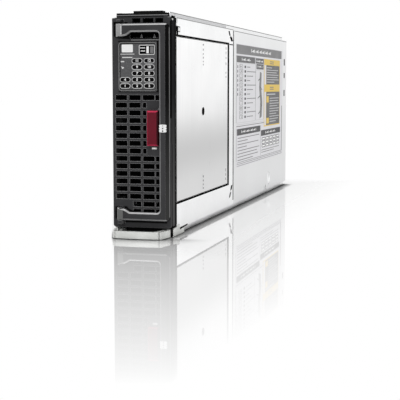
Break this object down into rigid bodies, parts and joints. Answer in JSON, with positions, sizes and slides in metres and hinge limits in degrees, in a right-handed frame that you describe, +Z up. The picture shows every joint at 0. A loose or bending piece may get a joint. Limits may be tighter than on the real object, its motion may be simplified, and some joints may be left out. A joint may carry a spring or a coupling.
{
  "type": "storage blade",
  "caption": "Upright storage blade for a server enclosure: a metal case with a pull-out drive drawer, grille front, swing-out handle, latch and release lever.",
  "frame": {"origin": "middle of the footprint, on the face of the bottom rail that the blade stands on", "axes": "+X to the right seen from the front, +Y from the front to the rear, +Z up"},
  "size_m": [0.05, 0.511, 0.181],
  "materials": {
    "sheet_steel": "bare zinc-coated sheet",
    "brushed_steel": "brushed upright grain",
    "drawer_steel": "bare zinc-coated sheet",
    "coated_steel": "black coated sheet",
    "runner_steel": "plain rolled steel",
    "pin_steel": "turned steel",
    "black_moulding": "fine textured moulding",
    "status_lens": "smooth dark lens",
    "clear_plastic": "clear moulding",
    "red_moulding": "satin dark red",
    "silver_cast": "satin silver",
    "foam_gasket": "conductive fabric over foam",
    "circuit_board": "green solder mask",
    "black_connector": "moulded",
    "heat_sink": "extruded",
    "cell_wrap": "shrink wrap",
    "carrier_moulding": "moulded",
    "drive_casting": "cast and pressed"
  },
  "bodies": {
    "chassis": {"chassis_shell": "sheet_steel", "side_frame": "sheet_steel", "rear_panel": "sheet_steel", "bay_floor": "sheet_steel", "board_tray": "sheet_steel", "signal_plug": "black_connector", "power_plug": "black_connector", "board_standoffs": "pin_steel", "controller_board": "circuit_board", "controller_heat_sink": "heat_sink", "expander_heat_sink": "heat_sink", "cache_socket": "black_connector", "cache_module": "circuit_board", "capacitor_pack": "cell_wrap", "runner_outer_left": "runner_steel", "runner_outer_right": "runner_steel", "lever_foot_left": "silver_cast", "lever_foot_right": "silver_cast", "lever_pins": "pin_steel"},
    "runner_carriage": {"runner_middle_left": "runner_steel", "runner_middle_right": "runner_steel"},
    "drawer": {"drawer_tray": "drawer_steel", "drawer_side_panel": "brushed_steel", "drawer_front_plate": "coated_steel", "bay_dividers": "drawer_steel", "drive_backplane": "circuit_board", "backplane_standoffs": "pin_steel", "drive_sockets": "black_connector", "drive_carriers": "carrier_moulding", "bezel": "black_moulding", "bezel_gasket": "foam_gasket", "ridge_seal": "foam_gasket", "status_plate": "status_lens", "light_pipes": "clear_plastic", "status_board": "circuit_board", "handle_pins": "pin_steel", "latch_spring": "pin_steel", "runner_inner_left": "runner_steel", "runner_inner_right": "runner_steel", "disk_drive_01": "drive_casting", "disk_drive_02": "drive_casting", "disk_drive_03": "drive_casting", "disk_drive_04": "drive_casting", "disk_drive_05": "drive_casting", "disk_drive_06": "drive_casting", "disk_drive_07": "drive_casting", "disk_drive_08": "drive_casting", "disk_drive_09": "drive_casting", "disk_drive_10": "drive_casting", "disk_drive_11": "drive_casting", "disk_drive_12": "drive_casting"},
    "handle": {"drawer_handle": "black_moulding"},
    "latch": {"latch_button": "red_moulding"},
    "lever": {"release_lever": "silver_cast", "lever_web": "black_moulding"},
    "lever_release": {"lever_button": "silver_cast"},
    "cover": {"access_cover": "sheet_steel"},
    "cover_catch": {"cover_latch": "sheet_steel"}
  },
  "joints": [
    {"name": "drawer_slide", "type": "slide", "parent": "chassis", "child": "drawer", "axis": [0, -1, 0], "range_m": [0, 0.418]},
    {"name": "runner_follow", "type": "slide", "parent": "chassis", "child": "runner_carriage", "axis": [0, -1, 0], "range_m": [0, 0.209]},
    {"name": "handle_swing", "type": "hinge", "parent": "drawer", "child": "handle", "pos_m": [-0.0176, -0.2387, 0.0921], "axis": [0, 0, -1], "range_deg": [0, 75]},
    {"name": "latch_press", "type": "slide", "parent": "drawer", "child": "latch", "axis": [0, 1, 0], "range_m": [0, 0.0025], "stiffness_N_per_m": 1200, "deforming": ["latch_spring"]},
    {"name": "lever_swing", "type": "hinge", "parent": "chassis", "child": "lever", "pos_m": [0, -0.2215, 0.0032], "axis": [1, 0, 0], "range_deg": [0, 55]},
    {"name": "lever_button_press", "type": "slide", "parent": "lever", "child": "lever_release", "axis": [0, 1, 0], "range_m": [0, 0.003], "stiffness_N_per_m": 1000},
    {"name": "cover_slide", "type": "slide", "parent": "chassis", "child": "cover", "axis": [0, 1, 0], "range_m": [0, 0.012]},
    {"name": "cover_latch_press", "type": "slide", "parent": "cover", "child": "cover_catch", "axis": [-1, 0, 0], "range_m": [0, 0.002], "stiffness_N_per_m": 1000}
  ],
  "couplings": [
    {"joint": "runner_follow", "follows": "drawer_slide", "ratio": 0.5}
  ]
}
